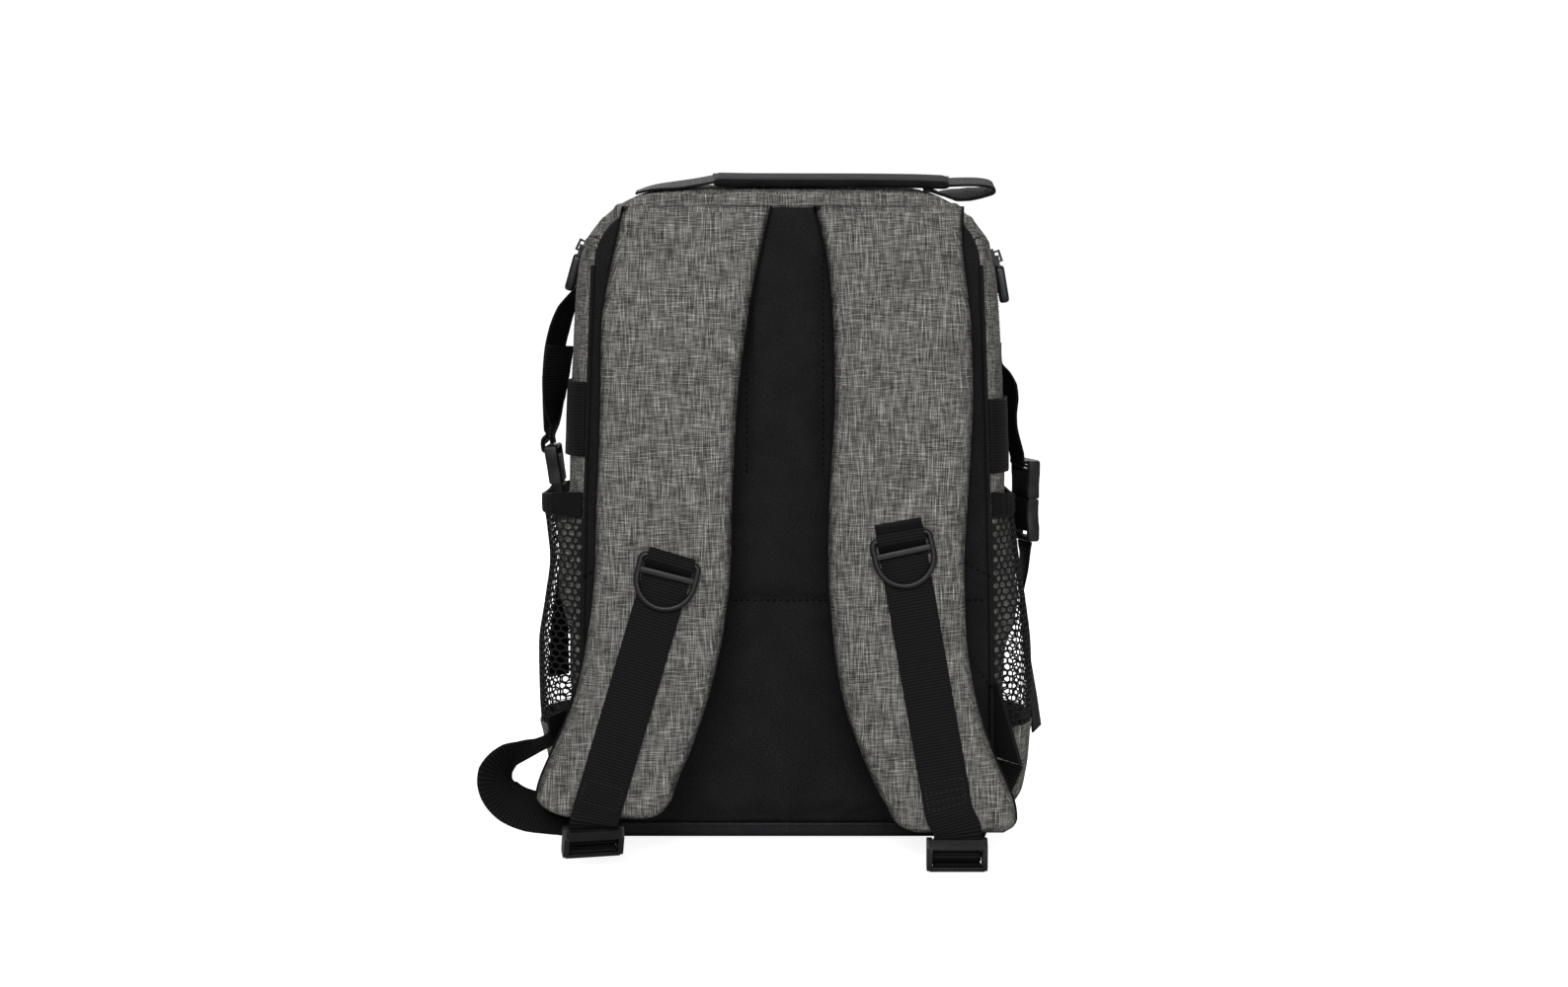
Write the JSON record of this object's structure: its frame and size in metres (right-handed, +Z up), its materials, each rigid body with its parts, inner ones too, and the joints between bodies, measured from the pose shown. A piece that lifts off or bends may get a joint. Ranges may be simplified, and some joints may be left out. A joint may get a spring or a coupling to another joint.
{
  "type": "camera backpack",
  "caption": "Padded backpack with a panel zip over the top, padded shoulder straps with rings and adjusters, net side pockets, compression straps and a carry handle.",
  "frame": {"origin": "middle of the flat base, on the floor", "axes": "+Z up along the bag's height, +Y from the harness to the front of the bag, +X to the right seen from the harness side"},
  "size_m": [0.3779, 0.2473, 0.4373],
  "materials": {
    "melange": "woven, grey melange with paler slub threads",
    "back_cloth": "knitted, matt black",
    "lining": "plain woven, matt black",
    "webbing": "ribbed narrow weave, slight sheen",
    "plastic": "moulded, satin black",
    "net": "open knitted net, black",
    "sleeve": "smooth, satin dark grey",
    "zip_tape": "covered coil zip tape, black",
    "zip_metal": "dark plated, satin"
  },
  "bodies": {
    "bag": {"top_back_panel": "melange", "top_front_panel": "melange", "base_panel": "back_cloth", "main_zip": "zip_tape", "side_panel_left": "melange", "side_panel_right": "melange", "back_panel": "back_cloth", "front_panel": "melange", "side_band_left": "webbing", "side_band_right": "webbing", "shoulder_strap_left": "melange", "shoulder_strap_right": "melange", "strap_lining_left": "lining", "strap_lining_right": "lining", "d_ring_left": "plastic", "d_ring_right": "plastic", "ladder_lock_left": "plastic", "ladder_lock_right": "plastic", "strap_webbing_left": "webbing", "strap_webbing_right": "webbing", "anchor_tab_left": "lining", "anchor_tab_right": "lining", "adjuster_webbing_left": "webbing", "adjuster_webbing_right": "webbing", "pocket_binding_left": "webbing", "pocket_binding_right": "webbing", "pocket_base_left": "melange", "pocket_base_right": "melange", "pocket_net_left": "net", "pocket_net_right": "net", "side_clip_left": "plastic", "side_clip_right": "plastic", "side_socket_left": "plastic", "side_socket_right": "plastic", "side_strap_left": "webbing", "side_strap_right": "webbing", "side_tail_left": "webbing", "side_tail_left_free": "webbing", "side_tail_right": "webbing", "handle_grip": "sleeve", "handle_webbing_left": "webbing", "handle_webbing_right": "webbing", "zip_slider_left": "zip_metal", "zip_slider_right": "zip_metal"},
    "pull_left": {"zip_pull_left": "zip_metal"},
    "pull_right": {"zip_pull_right": "zip_metal"}
  },
  "joints": [
    {"name": "pull_left_swing", "type": "hinge", "parent": "bag", "child": "pull_left", "pos_m": [-0.13619, -0.029, 0.39047], "axis": [0, 1, 0], "range_deg": [0, 150]},
    {"name": "pull_right_swing", "type": "hinge", "parent": "bag", "child": "pull_right", "pos_m": [0.13923, -0.029, 0.38313], "axis": [0, -1, 0], "range_deg": [0, 150]}
  ]
}
